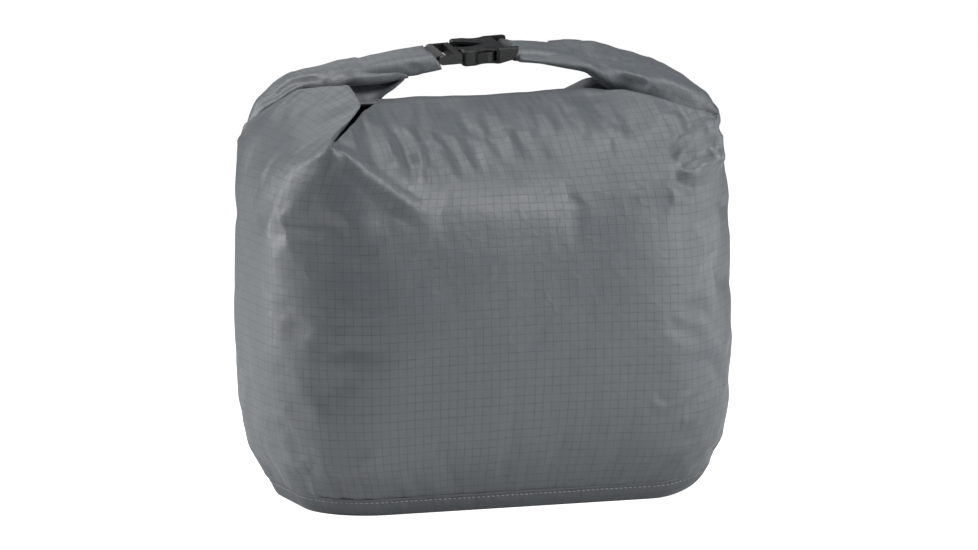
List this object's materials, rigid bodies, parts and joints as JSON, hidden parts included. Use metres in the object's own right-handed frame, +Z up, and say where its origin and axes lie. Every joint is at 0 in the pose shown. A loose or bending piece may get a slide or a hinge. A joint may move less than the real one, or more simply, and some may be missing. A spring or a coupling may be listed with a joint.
{
  "type": "roll-top dry bag",
  "caption": "Box-shaped coated ripstop sack whose rolled mouth turns up at both ends and clips with a side-release buckle into a carrying loop.",
  "frame": {"origin": "centre of the base, on the ground", "axes": "+Z up, X along the long side and the buckle (plug at -X, socket at +X), -Y to the front"},
  "size_m": [0.274, 0.1595, 0.2644],
  "materials": {
    "ripstop": "satin, coated, 5 mm ripstop grid",
    "ripstop_base": "satin, coated",
    "seam_tape": "smooth welded film",
    "thread": "twisted polyester",
    "thread_black": "twisted polyester",
    "stiffener": "smooth strip",
    "webbing": "woven polyester",
    "acetal": "moulded, satin"
  },
  "bodies": {
    "sack": {"sack_body": "ripstop", "base_panel": "ripstop_base", "base_binding": "ripstop_base", "base_seam_thread": "thread", "base_seam_tape": "seam_tape", "back_seam": "ripstop", "back_seam_tape": "seam_tape", "back_seam_thread": "thread", "roll_center": "ripstop", "stiffener_center": "stiffener", "roll_bend_left": "ripstop", "roll_bend_right": "ripstop", "side_flap_left": "ripstop", "side_flap_right": "ripstop"},
    "left_arm": {"roll_left": "ripstop", "stiffener_left": "stiffener", "webbing_left": "webbing", "bartack_left": "thread_black"},
    "right_arm": {"roll_right": "ripstop", "stiffener_right": "stiffener", "webbing_right": "webbing", "bartack_right": "thread_black"},
    "plug": {"buckle_plug": "acetal"},
    "socket": {"buckle_socket": "acetal"},
    "prong_front": {"plug_prong_front": "acetal"},
    "prong_rear": {"plug_prong_rear": "acetal"}
  },
  "joints": [
    {"name": "left_arm_swing", "type": "hinge", "parent": "sack", "child": "left_arm", "pos_m": [-0.11199, 0.01671, 0.2282], "axis": [0.0109, -0.9781, -0.2076], "range_deg": [0, 45], "deforming": ["plug_prong_front", "plug_prong_rear", "roll_bend_left", "roll_bend_right"]},
    {"name": "right_arm_swing", "type": "hinge", "parent": "sack", "child": "right_arm", "pos_m": [0.11131, 0.01671, 0.2399], "axis": [-0.0109, 0.9781, 0.2076], "range_deg": [0, 45]},
    {"name": "plug_pivot", "type": "hinge", "parent": "left_arm", "child": "plug", "pos_m": [-0.02347, 0.012, 0.25502], "axis": [-0.0109, 0.9781, 0.2076], "range_deg": [0, 45]},
    {"name": "socket_pivot", "type": "hinge", "parent": "right_arm", "child": "socket", "pos_m": [0.02047, 0.012, 0.25733], "axis": [0.0109, -0.9781, -0.2076], "range_deg": [0, 45]},
    {"name": "prong_front_squeeze", "type": "hinge", "parent": "plug", "child": "prong_front", "pos_m": [-0.0105, 0.00417, 0.25404], "axis": [-0.0512, -0.2079, 0.9768], "range_deg": [0, 12]},
    {"name": "prong_rear_squeeze", "type": "hinge", "parent": "plug", "child": "prong_rear", "pos_m": [-0.01067, 0.01983, 0.25736], "axis": [0.0512, 0.2079, -0.9768], "range_deg": [0, 12]}
  ],
  "couplings": [
    {"joint": "right_arm_swing", "follows": "left_arm_swing", "ratio": 1},
    {"joint": "plug_pivot", "follows": "left_arm_swing", "ratio": 1},
    {"joint": "socket_pivot", "follows": "left_arm_swing", "ratio": 1},
    {"joint": "prong_rear_squeeze", "follows": "prong_front_squeeze", "ratio": 1}
  ]
}
